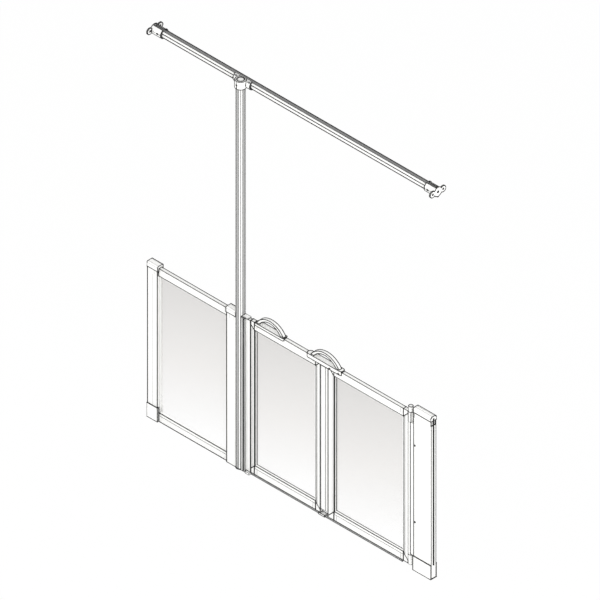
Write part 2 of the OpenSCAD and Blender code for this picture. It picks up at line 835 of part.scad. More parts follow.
module pole_clamp_plug() {
    color("gainsboro") translate([pole_x, pole_y, collar_z1 - recess_h])
        cylinder(d = collar_plug_d - 2 * plug_gap, h = recess_h - 1);
}

module pole_clamp_screws() {
    color("silver") {
        for (s = [-1, 1]) toward_rail(pole_x + s * saddle_screw_pitch / 2, rail_bore / 2 + 0.5) {
            cylinder(d = screw_d, h = saddle_r - rail_bore / 2 + screw_head_h - 1);
            translate([0, 0, saddle_r - rail_bore / 2 - 0.5])
                cylinder(d = screw_head_d, h = screw_head_h);
        }
        translate([pole_x, rail_y - rail_flat, rail_z]) rotate([90, 0, 0]) difference() {
            cylinder(d = grub_d, h = rail_back + collar_d / 2 - rail_flat - 1);
            translate([0, 0, rail_back + collar_d / 2 - rail_flat - 3.5])
                cylinder(d = grub_d / 2, h = 4, $fn = 6);
        }
    }
}

// Curtain rail and its wall brackets

module curtain_rail() {
    color("white") difference() {
        translate([rail_x0, rail_y, rail_z]) rotate([90, 0, 90])
            linear_extrude(opening_w - 2 * rail_x0)
                grooved_section(rail_d, rail_bore, rail_groove_w, rail_groove_depth);
        for (s = [-1, 1]) toward_rail(pole_x + s * saddle_screw_pitch / 2, 0)
            cylinder(d = screw_d + 2 * screw_fit, h = rail_r + 1);
    }
}

module rail_glide_strip() {
    w = rail_groove_w - 4;
    color("dimgray") block([rail_x0, rail_y - w / 2, rail_z + rail_flat],
                           [opening_w - rail_x0, rail_y + w / 2, rail_z + rail_flat + strip_t]);
}

module left_rail_bracket() {
    color("whitesmoke") bracket_body();
}

module right_rail_bracket() {
    color("whitesmoke") at_right_wall() bracket_body();
}

module bracket_grub_screws() {
    color("silver") {
        bracket_grub();
        at_right_wall() bracket_grub();
    }
}

// Strike side of the door opening

module strike_post() {
    color("white") upright(0, strike_top) strike_post_section();
}

module strike_post_cap() {
    color("whitesmoke") difference() {
        upright(strike_top, leaf_top)
            round_rect([strike_x, strike_cap_y], [jamb_x + strike_cap_over, post_d - strike_cap_y + 1],
                       2);
        translate([pole_x, pole_y, strike_top - 1])
            cylinder(r = pole_r + pole_fit, h = strike_cap_t + 2);
    }
}

module strike_jamb() {
    color("white") difference() {
        block([jamb_x, frame_y0, strike_foot_h], [jamb_x1, frame_y1, strike_top]);
        block([jamb_x + post_t, frame_y0 + post_t, strike_foot_h - 1],
              [jamb_x1 - post_t, frame_y1 - post_t, strike_top - cap_top]);
    }
}

module strike_magnet() {
    color("dimgray") block([jamb_x1, mid_y - magnet_w / 2, strike_foot_h],
                           [jamb_x1 + magnet_t, mid_y + magnet_w / 2, strike_top]);
}

module strike_foot() {
    color("whitesmoke") upright(0, strike_foot_h)
        round_rect([jamb_x + strike_foot_in, -strike_foot_proud], [jamb_x1 + magnet_t, frame_y1 + 2], 2);
}

// Right wall

module right_wall_channel() {
    color("silver") at_right_wall() channel_body(right_top - right_cap_h);
}

module right_post() {
    color("white") at_right_wall() difference() {
        upright(shoe_base, right_top - right_cap_h) difference() {
            rect([0, 0], [right_post_w, post_d]);
            rect([-1, post_t], [right_post_w - post_t, post_d - post_t]);
        }
        for (z = [post_screw_z_low, post_screw_z_top])
            translate([right_post_w - post_screw_x, -1, z]) rotate([-90, 0, 0])
                cylinder(d = screw_d + 2 * screw_fit, h = post_t + 2);
    }
}

module right_post_cap() {
    color("whitesmoke") at_right_wall() {
        cap_body(0, right_post_w + cap_proud, post_t, right_post_w - 2 * post_t,
                 right_top, right_cap_h, right_cap_r);
        cap_end_wall(right_top, right_cap_h);
    }
}

module right_foot_shoe() {
    color("whitesmoke") at_right_wall() shoe(right_post_w);
}

module right_post_screws() {
    color("silver") for (z = [post_screw_z_low, post_screw_z_top])
        translate([right_x + post_screw_x, -screw_head_h, z]) rotate([0, 0, 90]) screw_x(12);
}

// Wall hinge

module wall_hinge_barrel() {
    color("white") difference() {
        union() {
            translate([wall_axis_x, wall_axis_y, barrel_z0])
                cylinder(d = barrel_d, h = barrel_z1 - barrel_z0);
            block([wall_axis_x + barrel_d / 4, 0, shoe_h + cap_gap],
                  [right_x, wall_axis_y + barrel_d / 2, barrel_z1]);
            block([right_x - post_t, 0, shoe_h + cap_gap],
                  [right_x, flange_y + flange_t, barrel_z1]);
            block([wall_axis_x - flange_reach, flange_y, shoe_h + cap_gap],
                  [right_x, flange_y + flange_t, barrel_z1]);
        }
        translate([wall_axis_x, wall_axis_y, barrel_z0 - 1])
            cylinder(d = wall_pin_d + 2 * pin_fit, h = barrel_z1 - barrel_z0 + 2);
    }
}

module wall_hinge_pin() {
    color("silver") translate([wall_axis_x, wall_axis_y, knuckle_low_z - 2])
        cylinder(d = wall_pin_d, h = knuckle_top_z1 + hinge_cap_h - cap_top - 2 - knuckle_low_z);
}

module wall_hinge_washers() {
    t = washer_gap - 0.2;
    color("gainsboro") for (z = [barrel_z0 - t, barrel_z1])
        translate([wall_axis_x, wall_axis_y, z]) difference() {
            cylinder(d = barrel_d - 1, h = t);
            translate([0, 0, -1]) cylinder(d = wall_pin_d + 2 * pin_fit, h = t + 2);
        }
}

module wall_hinge_cap() {
    color("whitesmoke") translate([wall_axis_x, wall_axis_y, knuckle_top_z1 + cap_gap]) difference() {
        cylinder(d = hinge_cap_d, h = hinge_cap_h - cap_gap);
        translate([0, 0, -1]) cylinder(d = wall_pin_d + 2 * pin_fit, h = hinge_cap_h - cap_top);
    }
}

// Door leaf B, hung on the wall hinge

module leaf_b_hinge_profile() {
    color("white") difference() {
        union() {
            block([b_x1, frame_y0, leaf_gap], [b_x1 + leaf_profile_w, frame_y1, leaf_top]);
            for (z = [[knuckle_low_z, barrel_z0 - washer_gap], [knuckle_top_z0, knuckle_top_z1]])
                upright(z[0], z[1]) {
                    translate([wall_axis_x, wall_axis_y]) circle(d = barrel_d);
                    rect([b_x1 + 1, frame_y0], [wall_axis_x, wall_axis_y + barrel_d / 2 - 1]);
                }
        }
        translate([wall_axis_x, wall_axis_y, barrel_z0 - washer_gap])
            cylinder(d = barrel_d + 2 * swing_clear, h = barrel_z1 - barrel_z0 + 2 * washer_gap);
        translate([wall_axis_x, wall_axis_y, 0])
            cylinder(d = wall_pin_d + 2 * pin_fit, h = screen_h + 1);
    }
}

module leaf_b_fold_stile() {
    color("white") left_at(b_x0) stile(stile_wide_w);
}

module leaf_b_wall_stile() {
    color("white") right_at(b_x1) stile(stile_w);
}

module leaf_b_top_rail() {
    color("white") along_x(b_x0 + stile_wide_w, b_x1 - stile_w) head_section(leaf_top, leaf_rail_h);
}

module leaf_b_bottom_rail() {
    color("white") along_x(b_x0 + stile_wide_w, b_x1 - stile_w) sill_section(leaf_gap, leaf_sill_h);
}

module leaf_b_glass() {
    color("lightcyan", 0.5)
        pane(b_x0 + stile_wide_w, b_x1 - stile_w, leaf_sill_top, leaf_rail_z);
}

module leaf_b_gasket() {
    color("dimgray")
        gasket_ring(b_x0 + stile_wide_w, b_x1 - stile_w, leaf_sill_top, leaf_rail_z);
}

module leaf_b_corner_blocks() {
    color("whitesmoke") {
        left_at(b_x0) corner_pair(stile_wide_w);
        right_at(b_x1) corner_pair(stile_w);
    }
}

module leaf_b_floor_seal() {
    color("gray") floor_seal(fold_x + fold_gap, b_x1 - seal_b_short);
}

module handle_b() {
    x0 = fold_x - handle_b_over;
    x1 = x0 + handle_b_l;
    y0 = mid_y - saddle_d / 2;
    z0 = leaf_top - saddle_b_skirt;
    color("white") difference() {
        union() {
            saddle(x0, x1, saddle_d / 2 - 0.5, saddle_b_skirt);
            grip(fold_x - 1, grip_b_l);
        }
        block([x0 - 1, y0 + saddle_skirt_t, z0 - 1],
              [fold_x + fold_gap, mid_y + saddle_d, leaf_top + saddle_clear]);
        for (x = handle_screws_x)
            translate([x, y0 - 1, leaf_top - saddle_screw_drop]) rotate([-90, 0, 0])
                cylinder(d = screw_d + 2 * screw_fit, h = saddle_d / 2);
    }
}

module handle_b_screws() {
    color("silver") for (x = handle_screws_x)
        translate([x, mid_y - saddle_d / 2 - screw_head_h, leaf_top - saddle_screw_drop])
            rotate([0, 0, 90]) screw_x(frame_y0 - mid_y + saddle_d / 2 - 0.2);
}

module fold_hinge_b_half() {
    color("white") translate([fold_x, 0, 0]) mirror([1, 0, 0]) fold_half(fold_half_b_w, 1);
}

module fold_hinge_pin() {
    color("silver") translate([fold_x, fold_y, fold_z0])
        cylinder(d = fold_pin_d, h = fold_z1 - fold_z0);
}

// Door leaf A, folded on leaf B

module leaf_a_fold_stile() {
    color("white") right_at(a_x1) stile(stile_w);
}

module leaf_a_free_stile() {
    color("white") left_at(a_x0) stile(stile_free_w);
}

module leaf_a_top_rail() {
    color("white") along_x(a_x0 + stile_free_w, a_x1 - stile_w) head_section(leaf_top, leaf_rail_h);
}

module leaf_a_bottom_rail() {
    color("white") along_x(a_x0 + stile_free_w, a_x1 - stile_w) sill_section(leaf_gap, leaf_sill_h);
}

module leaf_a_glass() {
    color("lightcyan", 0.5)
        pane(a_x0 + stile_free_w, a_x1 - stile_w, leaf_sill_top, leaf_rail_z);
}

module leaf_a_gasket() {
    color("dimgray")
        gasket_ring(a_x0 + stile_free_w, a_x1 - stile_w, leaf_sill_top, leaf_rail_z);
}

module leaf_a_corner_blocks() {
    color("whitesmoke") {
        left_at(a_x0) corner_pair(stile_free_w);
        right_at(a_x1) corner_pair(stile_w);
    }
}

module leaf_a_floor_seal() {
    color("gray") floor_seal(a_x0, fold_x - seal_end_l);
}

module floor_seal_end() {
    color("whitesmoke") difference() {
        block([fold_x - seal_end_l, frame_y0 - 1.5, seal_lift], [fold_x - fold_gap, frame_y1, leaf_gap - 2]);
        block([fold_x - seal_end_l + 2, frame_y0, seal_lift - 1], [fold_x - fold_gap - 2, frame_y1 - 2,
                                                                   leaf_gap - 4]);
    }
}

module handle_a() {
    x0 = leaf_a_x + handle_a_x;
    color("white") {
        saddle(x0, x0 + handle_a_l, 5, saddle_a_skirt);
        grip(x0 + handle_a_l / 2, grip_a_l);
    }
}

module fold_hinge_a_half() {
    color("white") translate([fold_x, 0, 0]) fold_half(fold_half_a_w, 0);
}

module leaf_a_edge_seal() {
    color("dimgray") block([leaf_a_x, mid_y - magnet_w / 2, leaf_gap],
                           [leaf_a_x + magnet_t, mid_y + magnet_w / 2, leaf_top]);
}

translate(shift) {
    left_wall_channel();
    left_post();
    left_post_cap();
    left_foot_shoe();
    fixed_top_rail();
    fixed_bottom_rail();
    fixed_glass();
    fixed_gasket();
    middle_post();
    middle_post_cap();
    support_pole();
    pole_foot();
    pole_clamp();
    pole_clamp_plug();
    pole_clamp_screws();
    curtain_rail();
    rail_glide_strip();
    left_rail_bracket();
    right_rail_bracket();
    bracket_grub_screws();
    strike_post();
    strike_post_cap();
    strike_jamb();
    strike_magnet();
    strike_foot();
    right_wall_channel();
    right_post();
    right_post_cap();
    right_foot_shoe();
    right_post_screws();
    wall_hinge_barrel();
    wall_hinge_pin();
    wall_hinge_washers();
    wall_hinge_cap();
    leaf_b_hinge_profile();
    leaf_b_fold_stile();
    leaf_b_wall_stile();
    leaf_b_top_rail();
    leaf_b_bottom_rail();
    leaf_b_glass();
    leaf_b_gasket();
    leaf_b_corner_blocks();
    leaf_b_floor_seal();
    handle_b();
    handle_b_screws();
    fold_hinge_b_half();
    fold_hinge_pin();
    leaf_a_fold_stile();
    leaf_a_free_stile();
    leaf_a_top_rail();
    leaf_a_bottom_rail();
    leaf_a_glass();
    leaf_a_gasket();
    leaf_a_corner_blocks();
    leaf_a_floor_seal();
    handle_a();
    fold_hinge_a_half();
    leaf_a_edge_seal();
    floor_seal_end();
}
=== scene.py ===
# %% [markdown]
# # A half-height carer shower screen, dressed for rendering
# The screen was built first as a CAD assembly: posts, a glazed panel, a folding door,
# a pole and a curtain rail. This lesson gives those solids their real finishes and
# adds the soft-edged and moulded pieces that look better as computed surfaces.
# Everything is in metres, with the floor at Z = 0, the outside of the shower
# towards -Y and the right wall towards +X.

import json

import bmesh
import bpy
import numpy as np
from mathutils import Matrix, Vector
from mathutils.bvhtree import BVHTree

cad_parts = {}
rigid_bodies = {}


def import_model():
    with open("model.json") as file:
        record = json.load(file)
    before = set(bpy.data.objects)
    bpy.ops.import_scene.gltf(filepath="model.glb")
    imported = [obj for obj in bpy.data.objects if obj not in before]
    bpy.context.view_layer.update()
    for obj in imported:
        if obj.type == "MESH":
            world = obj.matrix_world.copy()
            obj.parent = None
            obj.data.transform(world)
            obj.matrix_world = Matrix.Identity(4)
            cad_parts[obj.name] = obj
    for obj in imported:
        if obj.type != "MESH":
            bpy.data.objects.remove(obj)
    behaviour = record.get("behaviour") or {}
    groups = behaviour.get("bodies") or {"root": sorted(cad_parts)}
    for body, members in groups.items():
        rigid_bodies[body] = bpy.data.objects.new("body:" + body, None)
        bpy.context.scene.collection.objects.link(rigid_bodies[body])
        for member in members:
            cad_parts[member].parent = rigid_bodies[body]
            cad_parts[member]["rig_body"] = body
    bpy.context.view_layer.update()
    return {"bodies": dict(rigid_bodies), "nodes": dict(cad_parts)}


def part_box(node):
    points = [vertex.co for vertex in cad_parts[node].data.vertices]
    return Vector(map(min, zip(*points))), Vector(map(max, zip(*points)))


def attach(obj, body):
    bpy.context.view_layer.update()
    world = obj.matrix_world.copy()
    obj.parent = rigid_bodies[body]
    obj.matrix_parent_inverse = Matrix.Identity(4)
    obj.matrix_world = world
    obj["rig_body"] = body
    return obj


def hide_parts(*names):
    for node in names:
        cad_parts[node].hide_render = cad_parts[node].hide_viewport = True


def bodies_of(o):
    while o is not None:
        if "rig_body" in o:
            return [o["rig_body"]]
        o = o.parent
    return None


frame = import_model()
nodes = frame["nodes"]

# %% [markdown]
# ## The camera
# The photograph is an isometric view: lines along X and along Y both slope by 30
# degrees in the picture and nothing gets smaller with distance. An orthographic
# camera at 45 degrees round and 35.26 degrees up gives exactly that. One picture
# unit is 3.947 mm of the real object, so 600 of them are the camera's scale. The point
# that the camera aims at sets where the screen lies in the picture.

# %% Place the isometric camera
unit_mm = 3.947
picture_units = 600
camera_distance = 6
back = Vector((1, -1, 1)).normalized()
aim = Vector((0.0464, -0.02235, 0.9725))
camera_data = bpy.data.cameras.new("isometric_camera")
camera_data.type = "ORTHO"
camera_data.ortho_scale = picture_units * unit_mm / 1000
camera_data.clip_end = 50
camera = bpy.data.objects.new("isometric_camera", camera_data)
bpy.context.scene.collection.objects.link(camera)
camera.location = aim + back * camera_distance
camera.rotation_mode = "QUATERNION"
camera.rotation_quaternion = (-back).to_track_quat("-Z", "Y")
bpy.context.scene.camera = camera
print("camera scale", camera_data.ortho_scale, "m")

# %% [markdown]
# ## Small helpers for materials
# A colour is written as the hex value a screen would show, and one function turns
# it into the linear numbers that light is computed with. Another function adds one
# node with its settings and links, so each finish reads as a short recipe.

# %% Colour and node helpers
def linear(hex_colour):
    """Each sRGB channel c becomes c / 12.92 when small, else ((c + 0.055) / 1.055) ** 2.4."""
    c = np.array([int(hex_colour[i:i + 2], 16) for i in (1, 3, 5)]) / 255
    return (*np.where(c <= 0.04045, c / 12.92, ((c + 0.055) / 1.055) ** 2.4), 1.0)


def add(tree, kind, settings=None, stops=(), **inputs):
    """Adds a node: its own settings, a ramp's colour stops, and inputs that are numbers, hex
    colours or sockets to link. An input is named by its label, or by its number as _0."""
    node = tree.nodes.new(kind)
    for key, value in (settings or {}).items():
        setattr(node, key, value)
    for count, (place, colour) in enumerate(stops):
        if count > 1:
            node.color_ramp.elements.new(place)
        node.color_ramp.elements[count].position = place
        node.color_ramp.elements[count].color = linear(colour)
    for key, value in inputs.items():
        socket = node.inputs[int(key[1:]) if key[1:].isdigit() else key.replace("_", " ")]
        if isinstance(value, bpy.types.NodeSocket):
            tree.links.new(value, socket)
        else:
            socket.default_value = linear(value) if isinstance(value, str) else value
    return node


def start(name):
    """A new material with an empty node tree, and the tree."""
    material = bpy.data.materials.new(name)
    material.use_nodes = True
    material.node_tree.nodes.clear()
    return material, material.node_tree


print("pure white is", linear("#FFFFFF"))

# %% [markdown]
# ## Powder coat and moulded plastic
# Powder coat is polyester powder baked onto the aluminium profiles. It gives a satin
# skin with a faint orange peel about a millimetre across. The caps, shoes, brackets
# and handles are moulded ABS: the same white, a little glossier and smoother. Both
# catch a soft light along their edges, because a real edge is never sharp: a Bevel
# node rounds the normal there by 0.7 mm without changing the shape.

# %% White finishes
def white_skin(name, base, roughness, peel_mm, peel_height_mm):
    """Peel bump on a rounded normal, slow drift in roughness and in a shade between two whites."""
    material, tree = start(name)
    place = add(tree, "ShaderNodeTexCoord")
    drift = add(tree, "ShaderNodeTexNoise", Vector=place.outputs["Object"], Scale=12.0, Detail=3.0)
    shade = add(tree, "ShaderNodeValToRGB", stops=[(0.3, base[0]), (0.7, base[1])],
                Fac=drift.outputs[0])
    peel = add(tree, "ShaderNodeTexNoise", Vector=place.outputs["Object"],
               Scale=1000 / peel_mm, Detail=2.0)
    soft = add(tree, "ShaderNodeBevel", {"samples": 4}, Radius=0.0007)
    bump = add(tree, "ShaderNodeBump", Height=peel.outputs[0], Strength=0.25,
               Distance=peel_height_mm / 1000, Normal=soft.outputs[0])
    rough = add(tree, "ShaderNodeMapRange", Value=drift.outputs[0], To_Min=roughness - 0.05,
                To_Max=roughness + 0.05)
    skin = add(tree, "ShaderNodeBsdfPrincipled", Base_Color=shade.outputs["Color"], IOR=1.5,
               Roughness=rough.outputs[0], Normal=bump.outputs[0])
    add(tree, "ShaderNodeOutputMaterial", Surface=skin.outputs[0])
    return material


powder_coat = white_skin("white_powder_coat", ("#F4F4F2", "#F7F7F5"), 0.42, 1.2, 0.02)
moulded_abs = white_skin("white_moulded_abs", ("#F6F6F4", "#F9F9F7"), 0.3, 0.8, 0.01)
print("made", powder_coat.name, "and", moulded_abs.name)

# %% [markdown]
# ## The grooved pole
# The pole is an extruded tube with four shallow grooves along it. The picture prints
# the grooves as grey bands, the shade that falls in them. The white coat therefore gets
# a painted shade of grey wherever a point is nearer to the tube's axis than 18.9 mm.
# The lands between the grooves lie at 19.3 mm.

# %% Pole coat with painted groove shade
pole_low, pole_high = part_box("support_pole")
pole_axis = ((pole_low.x + pole_high.x) / 2, (pole_low.y + pole_high.y) / 2, 0.0)
pole_radius, land_slack = 0.0193, 0.0004


def pole_skin_with_painted_groove_shade(name, white, grey, land_radius, roughness):
    """White where sqrt(dx * dx + dy * dy) reaches the land's radius, and a painted groove
    shade of grey below it.
    """
    material, tree = start(name)
    place = add(tree, "ShaderNodeTexCoord")
    moved = add(tree, "ShaderNodeVectorMath", {"operation": "SUBTRACT"},
                _0=place.outputs["Object"], _1=pole_axis)
    flat = add(tree, "ShaderNodeVectorMath", {"operation": "MULTIPLY"},
               _0=moved.outputs[0], _1=(1, 1, 0))
    far = add(tree, "ShaderNodeVectorMath", {"operation": "LENGTH"}, _0=flat.outputs[0])
    outside = add(tree, "ShaderNodeMath", {"operation": "GREATER_THAN"},
                  _0=far.outputs["Value"], _1=land_radius)
    # painted shade: grey inside the grooves, where the shade falls
    shade = add(tree, "ShaderNodeValToRGB", stops=[(0.0, grey), (1.0, white)],
                Fac=outside.outputs[0])
    peel = add(tree, "ShaderNodeTexNoise", Vector=place.outputs["Object"], Scale=830.0, Detail=2.0)
    bump = add(tree, "ShaderNodeBump", Height=peel.outputs[0], Strength=0.25, Distance=0.00002)
    drift = add(tree, "ShaderNodeTexNoise", Vector=place.outputs["Object"], Scale=18.0)
    rough = add(tree, "ShaderNodeMapRange", Value=drift.outputs[0], To_Min=roughness - 0.05,
                To_Max=roughness + 0.05)
    skin = add(tree, "ShaderNodeBsdfPrincipled", Base_Color=shade.outputs["Color"], IOR=1.5,
               Roughness=rough.outputs[0], Normal=bump.outputs[0])
    add(tree, "ShaderNodeOutputMaterial", Surface=skin.outputs[0])
    return material


# the grey is painted shade in the grooves, and the lands keep the white coat
pole_white_and_painted_groove_shade = pole_skin_with_painted_groove_shade("white_pole_with_painted_groove_shade", "#F6F6F4", "#A8A8A7", pole_radius - land_slack, 0.42)
print("pole axis", [round(v, 4) for v in pole_axis])

# %% [markdown]
# ## Rubber, seals and printed line
# The wedges and the edge strips are extruded EPDM rubber, matt and nearly black. The
# floor seal is soft grey PVC with a slight sheen, and the strip on which the curtain
# glides is dark grey nylon. The picture's lines are printed in matt black ink.

# %% Soft and dark finishes
def soft_skin(name, dark, light, roughness, grain_mm, sheen):
    """A matt skin whose colour drifts between two close shades with a fine grain."""
    material, tree = start(name)
    place = add(tree, "ShaderNodeTexCoord")
    grain = add(tree, "ShaderNodeTexNoise", Vector=place.outputs["Object"],
                Scale=1000 / grain_mm, Detail=4.0)
    shade = add(tree, "ShaderNodeValToRGB", stops=[(0.35, dark), (0.65, light)],
                Fac=grain.outputs[0])
    bump = add(tree, "ShaderNodeBump", Height=grain.outputs[0], Strength=0.3, Distance=0.0001)
    skin = add(tree, "ShaderNodeBsdfPrincipled", Base_Color=shade.outputs["Color"],
               Roughness=roughness, IOR=1.5, Sheen_Weight=sheen, Normal=bump.outputs[0])
    add(tree, "ShaderNodeOutputMaterial", Surface=skin.outputs[0])
    return material


black_epdm = soft_skin("black_epdm_rubber", "#161616", "#242424", 0.75, 2.0, 0.05)
glide_nylon = soft_skin("dark_grey_glide_nylon", "#767676", "#828282", 0.5, 2.0, 0.0)
grey_pvc = soft_skin("grey_pvc_seal", "#9A9A99", "#ADADAC", 0.5, 3.0, 0.1)
white_tpe = soft_skin("white_tpe_gasket", "#F0F0EE", "#F7F7F5", 0.6, 2.0, 0.1)
line_ink = soft_skin("printed_line_ink", "#1A1A1A", "#262626", 0.85, 2.0, 0.0)
print("soft finishes", [m.name for m in (black_epdm, glide_nylon, grey_pvc, white_tpe, line_ink)])

# %% [markdown]
# ## Stainless steel
# The screws and hinge pins are turned from stainless steel, so fine rings run round
# them. The rings change only the roughness and a very small bump: noise is squeezed
# along one axis, which leaves it stretched along the others.

# %% Steel finish
def metal_skin(name, colour, roughness, line_mm, stretch):
    """Metal whose roughness follows fine lines: noise squeezed across and stretched along."""
    material, tree = start(name)
    place = add(tree, "ShaderNodeTexCoord")
    squeezed = add(tree, "ShaderNodeMapping", Vector=place.outputs["Object"], Scale=stretch)
    rings = add(tree, "ShaderNodeTexNoise", Vector=squeezed.outputs[0],
                Scale=1000 / line_mm, Detail=3.0)
    rough = add(tree, "ShaderNodeMapRange", Value=rings.outputs[0], To_Min=roughness - 0.08,
                To_Max=roughness + 0.08)
    bump = add(tree, "ShaderNodeBump", Height=rings.outputs[0], Strength=0.2, Distance=0.00005)
    skin = add(tree, "ShaderNodeBsdfPrincipled", Base_Color=colour, Metallic=1.0,
               Roughness=rough.outputs[0], Normal=bump.outputs[0])
    add(tree, "ShaderNodeOutputMaterial", Surface=skin.outputs[0])
    return material


turned_steel = metal_skin("turned_stainless_steel", "#8F9092", 0.32, 0.8, (1, 1, 6))
print("made", turned_steel.name)

# %% [markdown]
# ## Glass
# The panes are clear float glass. In the picture they are pale warm grey at the top
# of each pane and fade to almost white at the foot, as glass does that mirrors a
# room. That reflection is painted into the glass: a ramp on Object coordinates, mostly
# from top to bottom, greyer at the top. Light passes both faces of a pane, so the
# painted grey is the square root of what is seen.

# %% Float glass with a painted reflection, greyer at the top
def glass_with_painted_reflection(name, pane):
    """Painted reflection = ramp over 0.15 * (x - left) / width + 0.85 * (top - z) / height,
    greyer at the top. One tenth of what is seen comes from the gloss."""
    low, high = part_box(pane)
    size = high - low
    across, down = 0.15, 0.85
    material, tree = start(name)
    place = add(tree, "ShaderNodeTexCoord")
    scaled = add(tree, "ShaderNodeMapping", Vector=place.outputs["Object"],
                 Location=(-low.x / size.x * across, 0.0, high.z / size.z * down),
                 Scale=(across / size.x, 0.0, -down / size.z))
    parts = add(tree, "ShaderNodeSeparateXYZ", Vector=scaled.outputs[0])
    along = add(tree, "ShaderNodeMath", {"operation": "ADD", "use_clamp": True},
                _0=parts.outputs["X"], _1=parts.outputs["Z"])
    # painted reflection: warm grey at the top of the pane, fading to white at the foot
    painted_reflection = add(tree, "ShaderNodeValToRGB", Fac=along.outputs[0],
               stops=[(0.0, "#E9E8E7"), (0.5, "#F5F4F3"), (0.95, "#FFFFFF")])
    clear = add(tree, "ShaderNodeBsdfTransparent", Color=painted_reflection.outputs["Color"])
    gloss = add(tree, "ShaderNodeBsdfPrincipled", Roughness=0.03, IOR=1.5, Base_Color="#FFFFFF")
    mixed = add(tree, "ShaderNodeMixShader", _0=0.1, _1=clear.outputs[0], _2=gloss.outputs[0])
    add(tree, "ShaderNodeOutputMaterial", Surface=mixed.outputs[0])
    return material


for pane in ("fixed_glass", "leaf_a_glass", "leaf_b_glass"):
    nodes[pane].data.materials.clear()
    nodes[pane].data.materials.append(glass_with_painted_reflection("float_" + pane, pane))
    print("glazed", pane)

# %% [markdown]
# ## Give each CAD piece its finish
# The CAD pieces keep their shape. Each one gets the finish of the real piece, found by
# its name.

# %% Finishes by piece
finish_of = {
    powder_coat: ["left_post", "right_post", "middle_post", "strike_post", "strike_jamb",
                  "left_wall_channel", "right_wall_channel", "fixed_top_rail",
                  "fixed_bottom_rail", "wall_hinge_barrel", "leaf_b_hinge_profile",
                  "leaf_b_fold_stile", "leaf_b_wall_stile", "leaf_b_top_rail",
                  "leaf_b_bottom_rail", "leaf_a_fold_stile", "leaf_a_free_stile",
                  "leaf_a_top_rail", "leaf_a_bottom_rail", "fold_hinge_a_half",
                  "fold_hinge_b_half", "curtain_rail"],
    pole_white_and_painted_groove_shade: ["support_pole"],
    moulded_abs: ["left_post_cap", "middle_post_cap", "right_post_cap", "left_foot_shoe",
                  "right_foot_shoe", "pole_foot", "pole_clamp", "pole_clamp_plug",
                  "left_rail_bracket", "right_rail_bracket", "strike_post_cap", "strike_foot",
                  "wall_hinge_cap", "wall_hinge_washers", "leaf_a_corner_blocks",
                  "leaf_b_corner_blocks", "handle_a", "handle_b", "floor_seal_end"],
    turned_steel: ["pole_clamp_screws", "bracket_grub_screws", "right_post_screws",
                   "wall_hinge_pin", "handle_b_screws", "fold_hinge_pin"],
    white_tpe: ["fixed_gasket", "leaf_a_gasket", "leaf_b_gasket"],
    black_epdm: ["strike_magnet", "leaf_a_edge_seal"],
    glide_nylon: ["rail_glide_strip"],
    grey_pvc: ["leaf_a_floor_seal", "leaf_b_floor_seal"],
}
for finish, names in finish_of.items():
    for name in names:
        nodes[name].data.materials.clear()
        nodes[name].data.materials.append(finish)
print("finished", sum(len(names) for names in finish_of.values()), "opaque pieces")

# %% [markdown]
# ## Pieces of our own
# The pieces that follow are surfaces worked out with numpy. One helper puts the
# points and faces into an object, gives it its finish, hangs it on its body of the
# mechanism and, where it stands for a CAD solid, hides that solid.

# %% Helpers for new pieces
def new_piece(name, points, faces, finish, body, *replaced, smooth=True):
    """An object from an (n, 3) array of points and lists of point numbers."""
    mesh = bpy.data.meshes.new(name)
    mesh.from_pydata(np.asarray(points).tolist(), [], [list(map(int, face)) for face in faces])
    mesh.materials.append(finish)
    piece = bpy.data.objects.new(name, mesh)
    bpy.context.scene.collection.objects.link(piece)
    if smooth:
        mesh.shade_smooth()
        mesh.set_sharp_from_angle(angle=0.6)
    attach(piece, body)
    if replaced:
        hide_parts(*replaced)
    return piece


def wrap(rows, columns, close_rows):
    """Faces of a grid whose columns run round, and whose rows run round too if close_rows."""
    r, c = np.meshgrid(np.arange(rows if close_rows else rows - 1), np.arange(columns),
                       indexing="ij")
    up, on = (r + 1) % rows, (c + 1) % columns
    return np.stack([r * columns + c, r * columns + on, up * columns + on,
                     up * columns + c], axis=-1).reshape(-1, 4)


def body_of(name):
    """The body of the mechanism that a CAD node rides on."""
    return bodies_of(nodes[name])[0]


# %% [markdown]
# ## Softened mouldings
# Caps, shoes, brackets, the clamp and the handles come out of a mould, so none of
# their edges is sharp. A merged copy of each solid gets a Bevel modifier that rounds
# the edges by 0.5 to 1.6 mm. The copy replaces the solid.

# %% Round the mouldings' edges
def softened(name, round_mm):
    """A merged copy of a CAD piece, its flat faces joined up, with rounded edges."""
    shape = bmesh.new()
    shape.from_mesh(nodes[name].data)
    bmesh.ops.remove_doubles(shape, verts=shape.verts, dist=1e-6)
    bmesh.ops.dissolve_limit(shape, angle_limit=0.01, verts=shape.verts, edges=shape.edges)
    points = [v.co[:] for v in shape.verts]
    shape.verts.index_update()
    faces = [[v.index for v in f.verts] for f in shape.faces]
    shape.free()
    piece = new_piece(name + "_moulded", points, faces, nodes[name].data.materials[0],
                      body_of(name), name)
    bevel = piece.modifiers.new("rounded_edges", "BEVEL")
    bevel.width = round_mm / 1000
    bevel.segments = 3
    bevel.limit_method = "ANGLE"
    bevel.angle_limit = 0.6
    bevel.harden_normals = True
    return piece


round_mm_of = {"left_post_cap": 0.7, "middle_post_cap": 0.7, "right_post_cap": 0.7,
               "left_foot_shoe": 0.8, "right_foot_shoe": 0.8, "left_rail_bracket": 0.8,
               "right_rail_bracket": 0.8, "pole_clamp": 0.8, "pole_foot": 0.8,
               "strike_post_cap": 0.8, "strike_foot": 0.8, "wall_hinge_cap": 1.5,
               "floor_seal_end": 0.6, "handle_a": 1.6, "handle_b": 1.6,
               "leaf_a_corner_blocks": 0.5, "leaf_b_corner_blocks": 0.5}
for name, round_mm in round_mm_of.items():
    softened(name, round_mm)
print("softened", len(round_mm_of), "mouldings")

